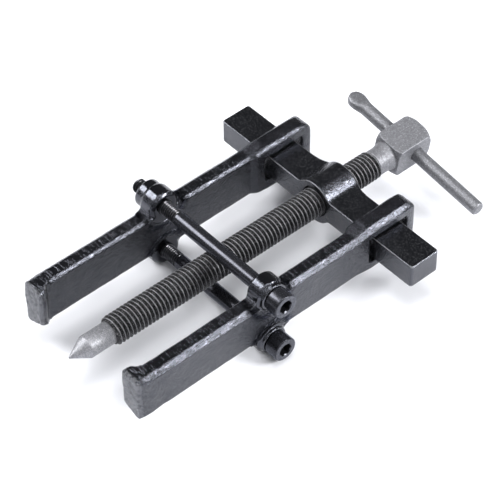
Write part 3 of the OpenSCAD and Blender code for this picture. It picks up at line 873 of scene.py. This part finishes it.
def bar_section(x):
    """Half width, half thickness and fullness of the bar's section at a place along it."""
    s = x - bar_left
    neck = eased((s - neck_start) / (neck_end - neck_start))
    width = spade_half_width + (bar_radius - spade_half_width) * neck
    thickness = spade_half_thickness + (bar_radius - spade_half_thickness) * neck
    fullness = spade_fullness - fullness_drop * neck
    if s < spade_half_width:
        width *= math.sqrt(max(1 - (1 - s / spade_half_width) ** 2, 0.03))
        thickness *= spade_tip_thickness + (1 - spade_tip_thickness) * eased(s / MM)
    end = bar_right - x
    if end < bar_chamfer:
        width = thickness = bar_radius - (bar_chamfer - end)
    return width, thickness, fullness


def lofted_bar():
    """The bar along X as rings of corners, closed by a face at each end."""
    near_spade = [0, 0.06, 0.2, 0.45, 0.8, 1.3, 1.9, 2.6] + [3.3 + 0.4 * i for i in range(18)]
    near_end = [0.75, 0.5, 0.2, 0]
    places = [bar_left + s * MM for s in near_spade] + [0] + [bar_right - s * MM for s in near_end]
    segments = 48
    bm = bmesh.new()
    rings = []
    for x in places:
        width, thickness, fullness = bar_section(x)
        ring = []
        for i in range(segments):
            a = 2 * math.pi * i / segments
            c, s = math.cos(a), math.sin(a)
            y = math.copysign(abs(c) ** (2 / fullness), c) * width
            z = math.copysign(abs(s) ** (2 / fullness), s) * thickness
            ring.append(bm.verts.new((x, (bar_lo.y + bar_hi.y) / 2 + y, axis_z + z)))
        rings.append(ring)
    for lower, upper in zip(rings, rings[1:]):
        for i in range(segments):
            j = (i + 1) % segments
            bm.faces.new((lower[i], lower[j], upper[j], upper[i]))
    bm.faces.new(rings[0])
    bm.faces.new(rings[-1])
    bmesh.ops.recalc_face_normals(bm, faces=bm.faces)
    mesh = bpy.data.meshes.new("handle_bar")
    bm.to_mesh(mesh)
    bm.free()
    return mesh


def bar_mesh():
    mesh = lofted_bar()
    values = {"Lump height": 0.03 * MM, "Lump size": 5 * MM, "Mark height": 0.0, "Seed": 5.0,
              "Edge gain": 0.4, "Material": bar_steel}
    mesh = run_nodes("handle_bar_steel", forged_tree, values, even_skin(mesh, fine_net, 3))
    mesh.transform(unturn_head.inverted())
    return mesh


hand_over("handle_bar_steel", bar_mesh(), "handle_bar")

# %% [markdown]
# ## The cap screws
# The head and shank are one swept profile with a rounded rim. The hexagon socket is cut with a boolean,
# with a small cone at its mouth, and the thread is the same tree as before, with a finer pitch.

# %% Cap screws
along_x = (Vector((1, 0, 0)), Vector((0, 1, 0)))
cap_radius = 5 * MM
cap_height = 6 * MM
shank_radius = 3 * MM
clamp_length = 78 * MM
clamp_thread_length = 24 * MM
clamp_thread_radius = 2.95 * MM
clamp_pitch = 1 * MM
socket_flats = 5 * MM
socket_depth = 3 * MM
socket_corner = socket_flats / 2 / math.cos(math.radians(30))
face_tolerance = 0.02 * MM
# Edge values of the worn end face and of the painted shade on the socket's floor.
rubbed_face, socket_floor_shade = 0.038, 0.4


def cap_body():
    """Head and shank, with the seat under the head at x = 0."""
    shank_end = clamp_thread_length - clamp_length
    shank = soften([(shank_end, 0), (shank_end, shank_radius - 0.4 * MM),
                    (shank_end + 0.4 * MM, shank_radius), (0, shank_radius)], 0.15 * MM)
    rim = [(0, shank_radius), (0, cap_radius), (cap_height, cap_radius), (cap_height, 0)]
    head = soften(rim, 0.6 * MM, 6)
    return turned_mesh("cap_body", shank + head[1:], along_x, 72)


def socket_cutter():
    """Six-sided prism with a cone at its mouth."""
    bm = bmesh.new()
    floor, mouth = cap_height - socket_depth, cap_height + MM
    bmesh.ops.create_cone(bm, cap_ends=True, segments=6, radius1=socket_corner, radius2=socket_corner,
                          depth=mouth - floor)
    bmesh.ops.transform(bm, matrix=Matrix.Translation(Vector(((floor + mouth) / 2, 0, 0)))
                        @ Matrix.Rotation(math.pi / 2, 4, "Y"), verts=bm.verts)
    mesh = bpy.data.meshes.new("socket_cutter")
    bm.to_mesh(mesh)
    bm.free()
    return mesh


def mouth_cutter():
    """Cone that bevels the socket's corners."""
    depth = socket_corner - socket_flats / 2
    profile = [(cap_height - depth, 0), (cap_height - depth, socket_flats / 2),
               (cap_height + depth, socket_corner + depth), (cap_height + depth, 0)]
    return turned_mesh("mouth_cutter", profile, along_x, 72)


def cut(mesh, cutter):
    """The mesh less the cutter."""
    tool = link_object("cutter", cutter)
    obj = link_object(mesh.name, mesh)
    boolean = obj.modifiers.new("cut", "BOOLEAN")
    boolean.operation = "DIFFERENCE"
    boolean.solver = "EXACT"
    boolean.object = tool
    result = baked(obj, mesh.name)
    bpy.data.objects.remove(tool)
    return result


def cap_thread():
    depth = clamp_pitch * thread_depth_share
    values = {"Start": (-clamp_length, 0, 0), "Length": clamp_thread_length + depth,
              "Radius": clamp_thread_radius, "Pitch": clamp_pitch, "Depth": depth, "Along X": True,
              "Samples": 16, "Segments": 36, "Edge gain": 0.8, "Material": oxide_steel}
    return outward(run_nodes("cap_thread", thread_tree, values))


def mark_head(mesh):
    """Edge values of worn metal on the head's end face, and of painted shade on the socket's floor."""
    places = np.empty(len(mesh.vertices) * 3)
    mesh.vertices.foreach_get("co", places)
    x, y, z = places.reshape(-1, 3).T
    at_end = x > cap_height - face_tolerance
    on_floor = abs(x - cap_height + socket_depth) < face_tolerance
    in_socket = on_floor & (np.hypot(y, z) < cap_radius * 0.7)
    set_edge(mesh, at_end * rubbed_face - in_socket * socket_floor_shade)
    return mesh


def shade_by_angle(mesh, limit):
    """Smooth shading with edges above a limit kept sharp."""
    for polygon in mesh.polygons:
        polygon.use_smooth = True
    mesh.set_sharp_from_angle(angle=limit)


cap_steel_parts = [mark_head(cut(cut(cap_body(), socket_cutter()), mouth_cutter())), cap_thread()]
for node in ("upper_clamp_screw", "lower_clamp_screw"):
    node_lo, node_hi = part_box(node)
    seat = Vector((node_hi.x - cap_height, (node_lo.y + node_hi.y) / 2, (node_lo.z + node_hi.z) / 2))
    cap_mesh = join_meshes(node + "_steel", cap_steel_parts, oxide_steel)
    shade_by_angle(cap_mesh, math.radians(32))
    cap_mesh.transform(Matrix.Translation(seat))
    hand_over(node + "_steel", cap_mesh, node)

# %% [markdown]
# ## Floor and studio light
# Glossy black paint shows its light, not its colour: the bevels are bright because they mirror a soft box
# at the right, and the flat tops stay black because nothing bright stands behind the tool. So the light is
# four soft boxes, at the right, above, straight overhead and at the left, over a white floor in a dim room.

# %% Floor and light
def add_floor():
    side = 3.0
    corners = [(-side, -side, 0), (side, -side, 0), (side, side, 0), (-side, side, 0)]
    mesh = bpy.data.meshes.new("floor")
    mesh.from_pydata(corners, [], [(0, 1, 2, 3)])
    material, tree, shader = new_material("white_floor", (0.87, 0.88, 0.92))
    shader.inputs["Roughness"].default_value = 0.9
    mesh.materials.append(material)
    link_object("floor", mesh)


def add_soft_box(name, azimuth, elevation, distance, width, height, power):
    """A rectangular light that faces the tool from a compass direction, 0 being +Y and 90 being +X."""
    a, e = math.radians(azimuth), math.radians(elevation)
    towards = Vector((math.sin(a) * math.cos(e), math.cos(a) * math.cos(e), math.sin(e)))
    data = bpy.data.lights.new(name, "AREA")
    data.shape = "RECTANGLE"
    data.size, data.size_y = width, height
    data.energy = power
    light = bpy.data.objects.new(name, data)
    light.location = beam_centre + towards * distance
    light.rotation_mode = "QUATERNION"
    light.rotation_quaternion = towards.to_track_quat("Z", "Y")
    bpy.context.scene.collection.objects.link(light)
    print(f"{name}: {power} W from azimuth {azimuth}, elevation {elevation}")


def set_room(strength):
    world = bpy.data.worlds.new("room")
    world.use_nodes = True
    background = world.node_tree.nodes["Background"]
    background.inputs["Color"].default_value = (0.95, 0.97, 1, 1)
    background.inputs["Strength"].default_value = strength
    bpy.context.scene.world = world


# Azimuth and elevation in degrees, distance, width and height in metres, and power in watts.
soft_boxes = {"right_soft_box": (60, 33, 0.9, 0.4, 0.18, 10),
              "top_soft_box": (140, 66, 1.3, 1.8, 2.0, 6.5),
              "overhead_soft_box": (140, 88, 1.4, 0.6, 0.6, 6.5),
              "left_soft_box": (238, 42, 1.1, 0.55, 0.5, 13)}
add_floor()
for name, values in soft_boxes.items():
    add_soft_box(name, *values)
set_room(strength=0.14)
bpy.context.scene.view_settings.view_transform = "Standard"
bpy.context.scene.view_settings.look = "None"
